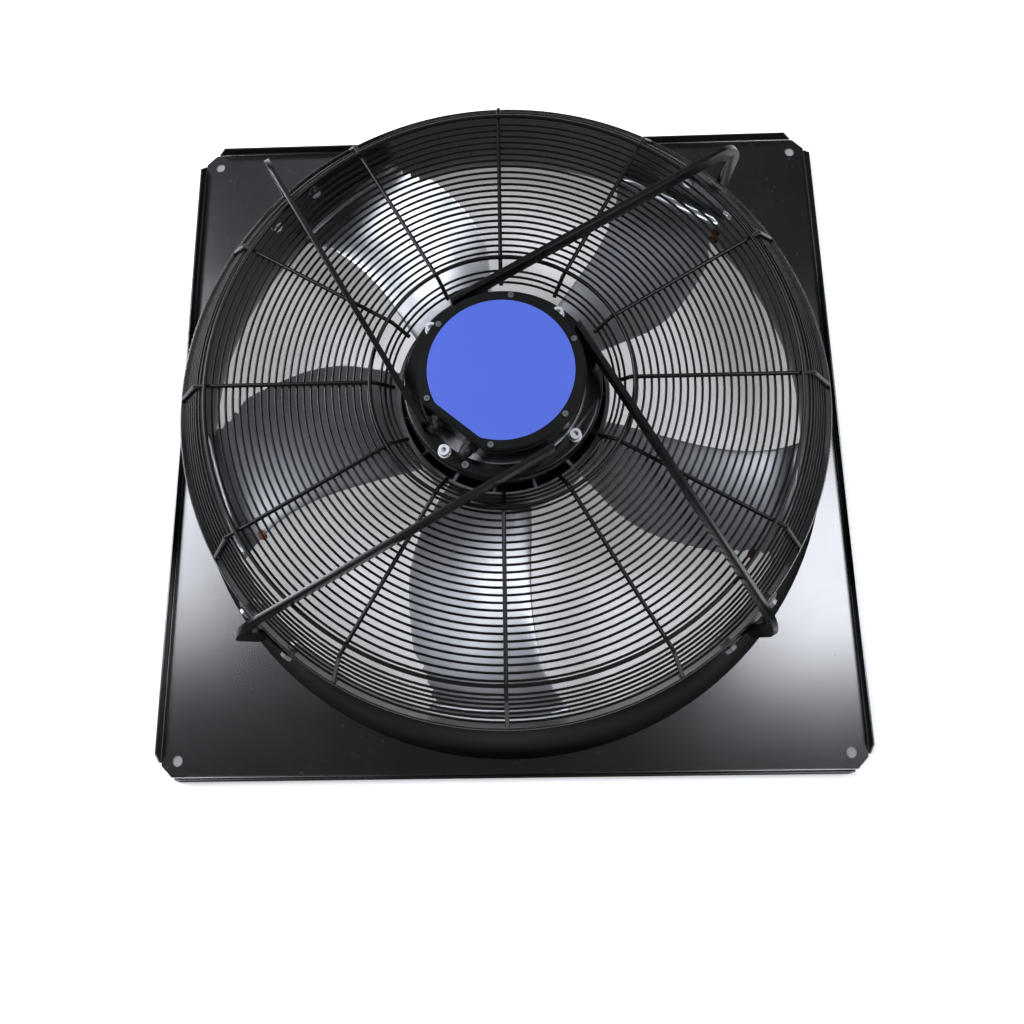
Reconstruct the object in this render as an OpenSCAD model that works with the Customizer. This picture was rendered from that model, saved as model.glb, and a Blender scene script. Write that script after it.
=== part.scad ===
// Industrial axial fan on a square wall plate, with a wire guard and an external-rotor motor.
// Millimetres. The origin is the centre of the plate's underside, between its four corner
// holes. +Z runs along the fan axis from the plate towards the motor.

/* [Wall plate] */
// Outside width of the square plate
plate_w = 960; // [900:1:1060]
// Width of the plate left between its opening and its edge
plate_edge = 21.5; // [14:0.5:60]
// Sheet thickness of the plate and the nozzle
sheet_t = 2; // [1.5:0.1:3]
// Height of the folded edge above the plate's underside
rim_depth = 15; // [10:1:30]
// Outside radius of the folded edge
bend_r = 4; // [3:0.5:8]
// Leg of the corner chamfers
corner_cut = 23; // [20:1:36]
// Distance of the corner holes from the plate's edges
hole_inset = 25; // [21:1:36]
// Diameter of the corner holes
hole_d = 14.5; // [9:0.5:16]

/* [Nozzle] */
// Inside radius of the nozzle's throat
throat_r = 401; // [380:1:420]
// Radius of the bell mouth's curve on its air side
bell_r = 99; // [80:1:110]
// Height of the nozzle's rim above the plate's underside
nozzle_h = 168; // [160:1:200]

/* [Guard] */
// Diameter of the fine guard rings
ring_d = 3; // [2:0.1:3.5]
// Distance from one fine ring to the next
ring_pitch = 8.5; // [7:0.1:14]
// Diameter of the spokes
spoke_d = 5; // [3:0.1:6]
// Number of spokes
spoke_n = 12; // [6:1:16]
// Diameter of the two stiff hoops on top of the spokes
hoop_d = 5; // [4:0.5:8]
// Distance of the outer hoop inside the bend of the spokes
hoop_inset = 14; // [12:1:36]
// Distance from the motor ring to the inner hoop
inner_hoop_gap = 36; // [30:1:50]
// Height of the guard's flat face above the nozzle's rim
guard_rise = 42.5; // [32:0.5:50]
// Distance that the guard's outer slope spans, measured inwards from the throat
slope_w = 35; // [28:1:40]
// Length of spoke that is welded down the inside of the rim
tail_len = 12; // [8:1:20]

/* [Suspension arms] */
// Thickness of the flat bar
arm_t = 6.5; // [5:0.5:8]
// Height of the flat bar
arm_h = 18; // [14:1:24]
// Distance from the motor ring's inner edge to the arm's middle plane
arm_inset = 6; // [4:0.5:9]
// Inside radius of the arm's outer bend
arm_bend = 24; // [6:1:30]
// Gap between the arms and the guard below them
arm_gap = 1; // [0.5:0.5:4]
// Thickness of the curved foot plates
foot_t = 5; // [4:0.5:8]
// Length of a foot plate around the nozzle
foot_len = 96; // [90:1:120]
// Height of a foot plate
foot_h = 40; // [34:1:46]
// Spacing of the two bolts in a foot
foot_bolt_pitch = 73; // [60:1:76]
// Distance of the foot bolts below the rim
foot_drop = 26; // [24:1:34]
// Thread diameter of the foot bolts
foot_bolt_d = 8; // [6:1:8]

/* [Motor mounting] */
// Clearance between the electronics housing and the motor ring
ring_gap = 3; // [2:0.5:4]
// Width of the motor ring
ring_w = 19; // [17:0.5:25]
// Thickness of the motor ring
ring_t = 6; // [4:0.5:8]
// Height of the stator flange's top face above the nozzle's rim
flange_rise = 28; // [24:1:34]
// Depth of the motor ring's turned-down lip
lip_h = 12; // [6:1:16]
// Distance of the motor bolts from the motor ring's inner edge
motor_bolt_inset = 8; // [7.5:0.5:10]
// Thread diameter of the motor bolts
motor_bolt_d = 8; // [6:1:8]

/* [Electronics housing] */
// Outside radius of the housing
housing_r = 98; // [88:0.5:108]
// Height of the housing
housing_h = 41; // [34:1:50]
// Wall thickness of the housing
housing_wall = 5; // [4:0.5:7]
// Depth that the housing's flat side cuts off its round
flat_depth = 12; // [10:0.5:16]
// Thickness of the lid gasket
gasket_t = 1.5; // [1:0.1:2]
// Thickness of the lid
lid_t = 5; // [4:0.5:7]
// Distance of the lid screws from the housing's outside
lid_screw_inset = 7.5; // [7:0.5:9]
// Distance of the label's edge from the housing's outside
label_inset = 13.5; // [13:0.5:26]
// Thickness of the label
label_t = 0.4; // [0.3:0.1:0.6]
// Gap between the circuit board's edge and the housing wall
board_margin = 9; // [7:0.5:14]
// Height of the circuit board above the motor flange
board_rise = 18; // [14:1:24]
// Thickness of the circuit board
board_t = 1.6; // [1:0.2:2.4]
// Corner radius at the circuit board's flat side
board_corner = 6; // [2:1:10]
// Diameter of the posts under the circuit board
board_post_d = 7; // [6:0.5:10]
// Diameter of the screw holes in the circuit board
board_hole_d = 4; // [3:0.5:5]
// Height of the choke block on the circuit board
choke_h = 12; // [8:1:16]
// Diameter of a capacitor on the circuit board
can_d = 20; // [14:1:22]
// Gap between the capacitors and the housing lid
can_gap = 4; // [2:0.5:10]
// Bore diameter for the cable glands
gland_d = 16; // [12:1:16]

/* [Impeller] */
// Running gap between the blade tips and the throat
tip_gap = 5; // [4:0.5:9]
// Outside radius of the hub
hub_r = 132; // [124:1:136]
// Height of the hub
hub_h = 110; // [100:1:116]
// Number of blades
blade_n = 5; // [3:1:7]
// Greatest blade thickness at the root
blade_t_root = 10; // [7:0.5:12]
// Greatest blade thickness at the tip
blade_t_tip = 5; // [4:0.5:7]
// Depth of the blade's camber
camber = 13; // [6:1:16]
// Height of the winglet on the blade tip
winglet_h = 7; // [3:0.5:8]
// Number of notches that make the teeth on the trailing edge
notch_n = 4; // [3:1:6]
// Distance from one notch to the next
notch_pitch = 12.5; // [11:0.5:16]
// Depth of a notch
notch_depth = 13; // [6:0.5:15]
// Length of a balance clip along the blade's chord
clip_len = 10; // [8:1:14]
// Width of a balance clip along the blade's edge
clip_w = 7; // [5:1:10]
// Width of a balance clip's slot at the trailing edge
clip_slot = 3.6; // [3:0.2:5]
// Width of a balance clip's slot at the thicker leading edge
lead_slot = 4.6; // [4:0.2:6]
// Sheet thickness of a balance clip
clip_wall = 1.2; // [0.8:0.1:2]

/* [Rotor and bearings] */
// Outside radius of the rotor bell
rotor_r = 100; // [97:0.5:100]
// Height of the rotor bell
rotor_h = 110; // [104:1:114]
// Wall thickness of the rotor bell
rotor_wall = 7; // [6:0.5:8]
// Thickness of the magnets
magnet_t = 6; // [4:0.5:7]
// Air gap between the magnets and the stator core
air_gap = 1; // [0.6:0.1:1.5]
// Gap between the rotor bell and the stator flange
rotor_gap = 8; // [6:0.5:10]
// Radius of the shaft
shaft_r = 10; // [9:0.5:11]
// Outside radius of the ball bearings
bearing_r = 23.5; // [22:0.5:25]
// Width of the ball bearings
bearing_w = 14; // [12:0.5:15]
// Length of the stator core
core_h = 50; // [36:1:54]
// Number of stator teeth
tooth_n = 12; // [9:3:15]

/* [Hidden] */

$fn = 96;
// Clearance that seated and welded pieces keep from each other
seat = 0.15;
// Overlap that lets a cut run clean through a face
cut = 1;
black = "#17181a";
steel = "#b9bcc0";
alloy = "#a9adb2";

// Nozzle and plate: the bell's curve stops short of the plate's plane, so it meets it in a crease
opening_r = plate_w / 2 - plate_edge;
bell_w = opening_r - throat_r;
bell_h = sheet_t + sqrt(pow(bell_r - sheet_t, 2) - pow(bell_r - bell_w, 2));
hole_pitch = plate_w - 2 * hole_inset;
nozzle_or = throat_r + sheet_t;

// Motor ring, lid and label, from the housing
ring_ir = housing_r + ring_gap;
ring_or = ring_ir + ring_w;
arm_offset = ring_ir + arm_inset;
motor_bolt_r = ring_ir + motor_bolt_inset;
flat_x = housing_r - flat_depth;
lid_screw_r = housing_r - lid_screw_inset;
label_r = housing_r - label_inset;

// Guard heights, stacked from the rim up
spoke_z = nozzle_h + guard_rise;
ring_z = spoke_z - (spoke_d + ring_d) / 2 - seat;
hoop_z = spoke_z + (spoke_d + hoop_d) / 2 + seat;
hoop_top = hoop_z + hoop_d / 2;
kink_r = throat_r - slope_w;
hoop_r = kink_r - hoop_inset;
inner_hoop_r = ring_or + inner_hoop_gap;
tail_r = throat_r - spoke_d / 2 - seat;
tail_z = nozzle_h + 3;
spoke_bend = 4;
inner_kink_r = inner_hoop_r - 4;
inner_end_r = ring_or + 11;
inner_end_drop = 18;

// Arms
foot_angle = 45;
arm_z = hoop_top + arm_gap;
arm_top = arm_z + arm_h;
foot_ir = nozzle_or + seat;
foot_or = foot_ir + foot_t;
foot_z = nozzle_h - foot_drop;
leg_s = sqrt(pow(foot_or - foot_t / 3, 2) - pow(arm_offset, 2));
arm_turn = foot_angle - asin(arm_offset / foot_or);
leg_bottom = foot_z - foot_h / 2 + 4;
leg_round = arm_h / 2;
foot_bolt_angle = asin(foot_bolt_pitch / 2 / foot_or);
washer_t = 1.6;
bolt_clear = 0.4;

// Motor stack
flange_z = nozzle_h + flange_rise;
flange_t = 12;
flange_r = ring_or - 5;
ring_top = flange_z + ring_t;
housing_top = flange_z + housing_h;
lid_z = housing_top + gasket_t;
lid_top = lid_z + lid_t;
lid_r = housing_r - 2;
lid_flat_x = flat_x - 1.5;
label_flat_x = lid_flat_x - 6.5;
flat_turn = 230.4;
motor_bolt_turn = 51;
lid_screw_turn = 22;
lid_screw_n = 6;
lid_screw_d = 4;
board_r = housing_r - housing_wall - board_margin;
board_post_r = board_r * 0.71;
can_r = can_d / 2;
board_z = flange_z + board_rise;
gland_z = flange_z + 21;
gland_y = 24;

// Rotor, shaft and bearings
rotor_top = flange_z - flange_t - rotor_gap;
rotor_z = rotor_top - rotor_h;
rotor_floor = 10;
boss_r = 20;
boss_h = 14;
hub_floor = 8;
hub_z = rotor_z - hub_floor;
hub_lip_r = rotor_r - 16;
hub_wall = 5;
hub_screw_r = rotor_r - 8;
bush_r = bearing_r + 6.5;
bush_z = rotor_z + rotor_floor + boss_h + 2;
lower_bearing_z = bush_z + 3;
upper_bearing_z = flange_z - flange_t - bearing_w + 4;
washer_h = 1.2;
shaft_top = upper_bearing_z + bearing_w + 1;
magnet_or = rotor_r - rotor_wall;
core_r = magnet_or - magnet_t - air_gap;
core_z = rotor_z + 38;
ball_r = (bearing_r - shaft_r) * 0.28;
ball_pitch = (bearing_r + shaft_r) / 2;
race_gap = 0.05;
ball_n = 8;

// Blades: the edges follow the real ones, as angles from the blade's own radius and
// as heights above the hub's lower face
tip_r = throat_r - tip_gap;
blade_turn = 270;
blade_span = tip_r - hub_r;
root_gap = 0.55;
columns = 12;
// Blade rows from the root out, each with the distance that it moves the trailing edge out.
// The inner edge swells to the first tooth, and each tooth stands out less than the one before
inner_rows = 10;
teeth_from = blade_span - 8 - notch_n * notch_pitch;
function tooth_out(k) = notch_depth * (0.85 - 0.27 * k);
// Place of the point of tooth k, as a share of the blade's span
function tooth_u(k) = (teeth_from + k * notch_pitch) / blade_span;
stations = concat(
    [for (i = [0:inner_rows - 1]) [tooth_u(0) * i / inner_rows, tooth_out(0) * pow(i / inner_rows, 3)]],
    [for (k = [0:notch_n - 1], half = [0, 1]) [tooth_u(k + half / 2),
        half == 0 ? tooth_out(k) : tooth_out(k + 0.5) - notch_depth]],
    [for (d = [8, 4.8, 2.4, 0]) [1 - d / blade_span, tooth_out(notch_n)]]);
rows = len(stations);

function polar(r, a) = [r * cos(a), r * sin(a)];
function arc(c, r, a0, a1, n) = [for (i = [0:n]) c + polar(r, a0 + (a1 - a0) * i / n)];
function mix(a, b, t) = a + (b - a) * t;
function clamp01(t) = min(1, max(0, t));
function smooth(t) = let (c = clamp01(t)) c * c * (3 - 2 * c);

// Copies children n times round the axis
module ring_of(n, turn = 0) {
    for (i = [0:n - 1]) rotate([0, 0, turn + i * 360 / n]) children();
}

// A ring with a square section
module washer_shape(r_out, r_in, z, h) {
    translate([0, 0, z]) difference() {
        cylinder(h = h, r = r_out);
        translate([0, 0, -cut]) cylinder(h = h + 2 * cut, r = r_in);
    }
}

// A ring of round wire
module hoop(r, z, d) {
    translate([0, 0, z]) rotate_extrude() translate([r, 0]) circle(d = d);
}

// A ring of fine wire, drawn with twelve sides because dozens of round ones make a heavy mesh
module fine_hoop(r, z, d) {
    translate([0, 0, z]) rotate_extrude() translate([r, 0]) circle(d = d, $fn = 12);
}

// Outline of a disc of radius r with one flat side at x, its corners rounded by c
function flat_disc(r, x, c) = let (cx = x - c, cy = sqrt(pow(r - c, 2) - pow(cx, 2)),
    a = atan2(cy, cx)) concat(
    arc([cx, -cy], c, -a, 0, 8), arc([cx, cy], c, 0, a, 8), arc([0, 0], r, a, 360 - a, 80));

// Round wire along a path of points in the XZ plane, with every corner bent to radius b.
// The straights run into the bends, which are a hair thicker, so that they join as one solid
module bent_wire(path, d, b) {
    last = len(path) - 1;
    heading = [for (i = [0:last - 1]) atan2(path[i + 1][1] - path[i][1],
        path[i + 1][0] - path[i][0])];
    trim = [for (i = [0:last]) i == 0 || i == last ? 0
        : b * tan(abs(heading[i] - heading[i - 1]) / 2)];
    lap = [for (i = [0:last]) i == 0 || i == last ? 0 : 0.6];
    rotate([90, 0, 0]) {
        for (i = [0:last - 1]) {
            span = norm(path[i + 1] - path[i]) - trim[i] - trim[i + 1] + lap[i] + lap[i + 1];
            translate(concat(path[i] + polar(trim[i] - lap[i], heading[i]), [0]))
                rotate([0, 0, heading[i]]) rotate([0, 90, 0]) cylinder(h = span, d = d);
        }
        for (i = [1:last - 1]) {
            bend = heading[i] - heading[i - 1];
            side = bend > 0 ? 90 : -90;
            centre = path[i] - polar(trim[i], heading[i - 1]) + polar(b, heading[i - 1] + side);
            start = heading[i - 1] - side;
            translate(concat(centre, [0])) rotate([0, 0, bend > 0 ? start : start + bend])
                rotate_extrude(angle = abs(bend)) translate([b, 0]) circle(d = d + 0.2);
        }
    }
}

// Hexagon bolt with a washer, its seat at the origin and its shank pointing down
module hex_bolt(d, length) {
    translate([0, 0, washer_t]) cylinder(h = d * 0.65, r = d * 0.94, $fn = 6);
    cylinder(h = washer_t, r = d);
    translate([0, 0, -length]) cylinder(h = length + cut, d = d);
}

// Socket-head bolt with a washer, its seat at the origin and its shank pointing down
module socket_bolt(d, length) {
    difference() {
        union() {
            cylinder(h = washer_t, r = d);
            translate([0, 0, washer_t - seat]) cylinder(h = d + seat, r = d * 0.81);
            translate([0, 0, -length]) cylinder(h = length + cut, d = d);
        }
        translate([0, 0, washer_t + d * 0.4]) cylinder(h = d, r = d * 0.43, $fn = 6);
    }
}

// Low pan-head screw with a slot for a driver
module pan_screw(d, length) {
    difference() {
        union() {
            cylinder(h = d * 0.45, r = d * 0.85);
            translate([0, 0, -length]) cylinder(h = length + cut, d = d);
        }
        for (a = [0, 90]) rotate([0, 0, a])
            translate([-d * 0.5, -d * 0.1, d * 0.2]) cube([d, d * 0.2, d]);
    }
}

// Plan of the plate with its four corners cut off, drawn in from the outside by inset
module plate_plan(inset) {
    w = plate_w / 2;
    e = w - inset;
    c = 2 * w - corner_cut - e;
    polygon([for (p = [[e, -c], [e, c], [c, e], [-c, e], [-e, c], [-e, -c], [-c, -e], [c, -e]]) p]);
}

module wall_plate() {
    color(black) difference() {
        union() {
            linear_extrude(sheet_t) plate_plan(bend_r);
            intersection() {
                for (i = [0:3]) rotate([0, 0, 90 * i]) folded_edge();
                linear_extrude(rim_depth) plate_plan(0);
            }
        }
        translate([0, 0, -cut]) cylinder(h = sheet_t + 2 * cut, r = opening_r, $fn = 180);
        for (x = [-1, 1], y = [-1, 1])
            translate([x * hole_pitch / 2, y * hole_pitch / 2, -cut])
                cylinder(h = sheet_t + 2 * cut, d = hole_d);
    }
}

// One side of the plate, folded up through a quarter turn, with its ends cut at 45 degrees
module folded_edge() {
    x = plate_w / 2 - bend_r;
    end = plate_w / 2 - corner_cut;
    top_end = end - rim_depth + sheet_t;
    intersection() {
        rotate([90, 0, 0]) linear_extrude(plate_w, center = true) {
            translate([x, bend_r]) intersection() {
                difference() {
                    circle(r = bend_r);
                    circle(r = bend_r - sheet_t);
                }
                translate([0, -bend_r]) square(bend_r);
            }
            translate([x + bend_r - sheet_t, bend_r]) square([sheet_t, rim_depth - bend_r]);
        }
        rotate([90, 0, 90]) linear_extrude(plate_w) polygon([[-end, 0], [end, 0], [end, sheet_t],
            [top_end, rim_depth], [-top_end, rim_depth], [-end, sheet_t]]);
    }
}

module nozzle_ring() {
    color(black) difference() {
        rotate_extrude($fn = 180) {
            translate([throat_r + bell_r, bell_h]) intersection() {
                difference() {
                    circle(r = bell_r);
                    circle(r = bell_r - sheet_t);
                }
                translate([-bell_r, -bell_h]) square([bell_w, bell_h]);
            }
            translate([throat_r, bell_h]) square([sheet_t, nozzle_h - bell_h]);
        }
        foot_bolt_places() translate([0, 0, -foot_t - sheet_t - cut])
            cylinder(h = foot_t + sheet_t + 2 * cut, d = foot_bolt_d + bolt_clear);
    }
}

// Moves children to each foot bolt, with +Z pointing away from the fan axis
module foot_bolt_places() {
    for (i = [0:3], s = [-1, 1])
        rotate([0, 0, foot_angle + 90 * i + s * foot_bolt_angle])
            translate([foot_or, 0, foot_z]) rotate([0, 90, 0]) children();
}

module foot_bolts() {
    color(steel) foot_bolt_places()
        translate([0, 0, seat]) hex_bolt(foot_bolt_d, foot_t + sheet_t + foot_bolt_d + 2);
}

module foot_nuts() {
    nut_h = foot_bolt_d * 0.8;
    color(steel) foot_bolt_places()
        translate([0, 0, throat_r - foot_or - nut_h - 1]) difference() {
            union() {
                cylinder(h = nut_h, r = foot_bolt_d * 0.94, $fn = 6);
                translate([0, 0, nut_h - seat]) cylinder(h = seat + 0.6, r = foot_bolt_d * 0.9);
            }
            translate([0, 0, -cut]) cylinder(h = nut_h + 3 * cut, d = foot_bolt_d + 2 * seat);
        }
}

// Radii of the fine rings on the guard's flat face
function flat_rings() = [for (r = [inner_hoop_r + ring_pitch / 2 : ring_pitch
    : hoop_r - ring_d / 2]) r];

module guard_rings() {
    slope = [tail_r - kink_r, tail_z - spoke_z];
    slope_len = norm(slope);
    down = slope / slope_len;
    under = [down[1], -down[0]] * (spoke_d + ring_d + 2 * seat) / 2;
    count = floor(slope_len / ring_pitch);
    inner = [inner_end_r - inner_kink_r, -inner_end_drop];
    inner_len = norm(inner);
    inside = inner / inner_len;
    below = [-inside[1], inside[0]] * (spoke_d + ring_d + 2 * seat) / 2;
    color(black) {
        for (r = flat_rings()) fine_hoop(r, ring_z, ring_d);
        fine_hoop(kink_r - ring_pitch / 2, ring_z, ring_d);
        for (i = [1:count]) {
            p = [kink_r, spoke_z] + down * ring_pitch * (i - 0.2) + under;
            fine_hoop(p[0], p[1], ring_d);
        }
        for (i = [0:2]) {
            q = [inner_kink_r, spoke_z] + inside * (inner_len - 3 - 7 * i) + below;
            fine_hoop(q[0], q[1], ring_d);
        }
    }
}

module guard_spokes() {
    color(black) ring_of(spoke_n) bent_wire([
        [inner_end_r, spoke_z - inner_end_drop], [inner_kink_r, spoke_z], [kink_r, spoke_z],
        [tail_r, tail_z], [tail_r, tail_z - tail_len]], spoke_d, spoke_bend);
}

module guard_hoops() {
    color(black) {
        hoop(hoop_r, hoop_z, hoop_d);
        hoop(inner_hoop_r, hoop_z, hoop_d);
    }
}

// Side view of one arm, X along the arm and Y up
module arm_outline() {
    outer = arm_bend + arm_h;
    corner = [leg_s - arm_bend, arm_z - arm_bend];
    heel = sqrt(pow(ring_or - 2, 2) - pow(arm_offset + arm_t / 2, 2));
    translate([-6, arm_z]) square([corner[0] + 6, arm_h]);
    translate(corner) intersection() {
        difference() {
            circle(r = outer);
            circle(r = arm_bend);
        }
        square(outer);
    }
    translate([leg_s, leg_bottom + leg_round])
        square([arm_h, corner[1] - leg_bottom - leg_round]);
    translate([leg_s, leg_bottom]) square([arm_h - leg_round, leg_round + cut]);
    translate([leg_s + arm_h - leg_round, leg_bottom + leg_round]) circle(r = leg_round);
    translate([-6, ring_top + seat]) square([heel + 6, arm_z - ring_top]);
}

// A flat bar that runs past the fan axis, with a curved foot plate on its outer leg
module suspension_arm(i) {
    color(black) rotate([0, 0, 90 * i]) difference() {
        union() {
            rotate([0, 0, arm_turn]) translate([0, arm_offset + arm_t / 2, 0]) rotate([90, 0, 0])
                linear_extrude(arm_t) arm_outline();
            intersection() {
                washer_shape(foot_or, foot_ir, foot_z - foot_h / 2, foot_h);
                rotate([0, 0, foot_angle]) translate([foot_ir - 20, 0, foot_z])
                    rotate([0, 90, 0]) linear_extrude(30) foot_plan();
            }
        }
        rotate([0, 0, foot_angle]) for (s = [-1, 1])
            rotate([0, 0, s * foot_bolt_angle]) translate([foot_ir - 5, 0, foot_z])
                rotate([0, 90, 0]) cylinder(h = foot_t + 10, d = foot_bolt_d + bolt_clear);
    }
}

// Plan of a foot plate with its corners cut off
module foot_plan() {
    a = foot_h / 2 + cut;
    b = foot_len / 2;
    c = 9;
    polygon([[-a, -b + c], [-a + c, -b], [a - c, -b], [a, -b + c],
        [a, b - c], [a - c, b], [-a + c, b], [-a, b - c]]);
}

module arm_1() { suspension_arm(0); }
module arm_2() { suspension_arm(1); }
module arm_3() { suspension_arm(2); }
module arm_4() { suspension_arm(3); }

// Ring that the arms are welded to and the motor is bolted to
module motor_ring() {
    edge = 4;
    color(black) difference() {
        rotate_extrude($fn = 144) {
            translate([ring_ir, flange_z + seat]) square([ring_or - ring_ir - edge, ring_t - seat]);
            translate([ring_or - edge, ring_top - edge]) intersection() {
                circle(r = edge);
                square(edge);
            }
            translate([ring_or - edge, flange_z - lip_h])
                square([edge, ring_t + lip_h - edge]);
        }
        ring_of(4, motor_bolt_turn) translate([motor_bolt_r, 0, flange_z - cut])
            cylinder(h = ring_t + 2 * cut, d = motor_bolt_d + bolt_clear);
        earth_place() translate([0, 0, -ring_t - cut]) cylinder(h = ring_t + 2 * cut, d = 5.4);
    }
}

module motor_bolts() {
    color(steel) ring_of(4, motor_bolt_turn) translate([motor_bolt_r, 0, ring_top + seat])
        socket_bolt(motor_bolt_d, ring_t + 9);
}

module earth_place() {
    rotate([0, 0, flat_turn + 16]) translate([ring_or - 9.5, 0, ring_top]) children();
}

module earth_screw() {
    color(steel) earth_place() translate([0, 0, seat]) pan_screw(5, ring_t - 1);
}

// Casting that carries the stator: a disc above the rotor with a tube down its middle
module stator_flange() {
    z0 = flange_z - flange_t;
    skirt_r = rotor_r + 4;
    color(alloy) difference() {
        union() {
            translate([0, 0, z0]) cylinder(h = flange_t, r = flange_r);
            washer_shape(skirt_r + 4, skirt_r, z0 - rotor_gap - 3, rotor_gap + 3 + cut);
            translate([0, 0, bush_z]) cylinder(h = z0 - bush_z + cut, r = bush_r);
        }
        translate([0, 0, bush_z - cut])
            cylinder(h = lower_bearing_z + bearing_w - bush_z + cut, r = bearing_r);
        translate([0, 0, bush_z])
            cylinder(h = upper_bearing_z - bush_z + cut, r = bearing_r - 2.5);
        translate([0, 0, upper_bearing_z])
            cylinder(h = bearing_w + washer_h + 1, r = bearing_r);
        ring_of(4, motor_bolt_turn) translate([motor_bolt_r, 0, flange_z - 10.5])
            cylinder(h = 12, d = motor_bolt_d + 2 * seat);
    }
}

module electronics_housing() {
    color(alloy) rotate([0, 0, flat_turn]) difference() {
        translate([0, 0, flange_z + seat]) linear_extrude(housing_h - seat)
            polygon(flat_disc(housing_r, flat_x, 8));
        difference() {
            translate([0, 0, flange_z + housing_wall]) linear_extrude(housing_h)
                polygon(flat_disc(housing_r - housing_wall, flat_x - housing_wall, 6));
            screw_posts(5.5, flange_z, housing_h + 2 * cut);
        }
        screw_posts(lid_screw_d / 2 + seat, housing_top - 11, 12);
        gland_places() translate([0, 0, -housing_wall - cut])
            cylinder(h = housing_wall + 2 * cut, d = gland_d);
    }
}

// A round post at each lid screw, in the housing's own frame
module screw_posts(r, z, h) {
    ring_of(lid_screw_n, lid_screw_turn - flat_turn) translate([lid_screw_r, 0, z])
        cylinder(h = h, r = r);
}

// Moves children to each gland, with +Z pointing out of the housing's flat side
module gland_places() {
    for (s = [-1, 1]) translate([flat_x, s * gland_y, gland_z]) rotate([0, 90, 0]) children();
}

// A hexagonal collar and a round dome, hollow for a cable
module cable_glands() {
    nut_r = gland_d * 0.62;
    color(black) rotate([0, 0, flat_turn]) gland_places() difference() {
        union() {
            translate([0, 0, -housing_wall - 3]) cylinder(h = housing_wall + 4, r = gland_d / 2 - seat);
            translate([0, 0, seat]) cylinder(h = 5, r = nut_r, $fn = 6);
            translate([0, 0, 4]) cylinder(h = 7, r = gland_d * 0.5);
            translate([0, 0, 10]) cylinder(h = 5, r1 = gland_d * 0.5, r2 = gland_d * 0.38);
        }
        translate([0, 0, -housing_wall - 4]) cylinder(h = housing_wall + 30, r = gland_d * 0.27);
    }
}

// Blanking plug in each gland
module gland_plugs() {
    color("#2b2c2e") rotate([0, 0, flat_turn]) gland_places() {
        translate([0, 0, 2]) cylinder(h = 13 + cut, r = gland_d * 0.27 - seat);
        translate([0, 0, 15 + seat]) cylinder(h = 2, r = gland_d * 0.34);
    }
}

module circuit_board() {
    color("#1f5a36") rotate([0, 0, flat_turn]) difference() {
        translate([0, 0, board_z]) linear_extrude(board_t)
            polygon(flat_disc(board_r, flat_x - housing_wall - board_margin, board_corner));
        for (a = [60, 180, 300]) rotate([0, 0, a]) translate([board_post_r, 0, board_z - cut])
            cylinder(h = board_t + 2 * cut, d = board_hole_d);
    }
    color(steel) rotate([0, 0, flat_turn]) for (a = [60, 180, 300]) rotate([0, 0, a])
        translate([board_post_r, 0, flange_z + housing_wall + seat])
            cylinder(h = board_z - flange_z - housing_wall, d = board_post_d);
}

module board_capacitors() {
    color("#30363f") for (x = [-1.5:1:1.5])
        translate([x * 2.4 * can_r, 3.4 * can_r, board_z + board_t + seat])
            cylinder(h = housing_top - board_z - board_t - can_gap, r = can_r);
    color("#3c3f44") translate([-3 * can_r, -4.2 * can_r, board_z + board_t + seat])
        cube([6 * can_r, 3.4 * can_r, choke_h]);
}

module lid_gasket() {
    color("#26272a") rotate([0, 0, flat_turn]) difference() {
        translate([0, 0, housing_top]) linear_extrude(gasket_t)
            polygon(flat_disc(lid_r - 1, lid_flat_x - 1, 7));
        translate([0, 0, housing_top - cut]) linear_extrude(gasket_t + 2 * cut)
            polygon(flat_disc(lid_screw_r - 5, lid_flat_x - 7, 6));
        screw_posts(lid_screw_d / 2 + seat, housing_top - cut, gasket_t + 2 * cut);
    }
}

// Lid with a stepped edge
module housing_lid() {
    step = 1.5;
    color(black) rotate([0, 0, flat_turn]) difference() {
        union() {
            translate([0, 0, lid_z]) linear_extrude(lid_t - step)
                polygon(flat_disc(lid_r, lid_flat_x, 9));
            translate([0, 0, lid_top - step]) linear_extrude(step)
                polygon(flat_disc(lid_r - step, lid_flat_x - step, 9));
        }
        screw_posts(lid_screw_d / 2 + seat, lid_z - cut, lid_t + 2 * cut);
    }
}

module lid_label() {
    color("#3c53c4") rotate([0, 0, flat_turn]) translate([0, 0, lid_top])
        linear_extrude(label_t) polygon(flat_disc(label_r, label_flat_x, 12));
}

module lid_screws() {
    color(steel) ring_of(lid_screw_n, lid_screw_turn) translate([lid_screw_r, 0, lid_top + seat])
        pan_screw(lid_screw_d, lid_t + gasket_t + 9);
}

// Laminated core: a yoke, teeth and a shoe on the end of each tooth
module stator_core() {
    shoe = 360 / tooth_n - 5;
    color("#6f7377") difference() {
        union() {
            translate([0, 0, core_z]) cylinder(h = core_h, r = bush_r + 15);
            ring_of(tooth_n) translate([bush_r + 5, -5, core_z])
                cube([core_r - bush_r - 7, 10, core_h]);
            ring_of(tooth_n) rotate([0, 0, -shoe / 2]) translate([0, 0, core_z])
                rotate_extrude(angle = shoe) translate([core_r - 5, 0]) square([5, core_h]);
        }
        translate([0, 0, core_z - cut]) cylinder(h = core_h + 2 * cut, r = bush_r + seat);
    }
}

module stator_windings() {
    x0 = bush_r + 16.5;
    span = core_r - 6.5 - x0;
    wide = 4.2;
    over = 7;
    color("#a5572b") ring_of(tooth_n) difference() {
        translate([x0, -5 - wide, core_z - over]) cube([span, 10 + 2 * wide, core_h + 2 * over]);
        translate([x0 - cut, -5 - seat, core_z - seat])
            cube([span + 2 * cut, 10 + 2 * seat, core_h + 2 * seat]);
    }
}

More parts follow.
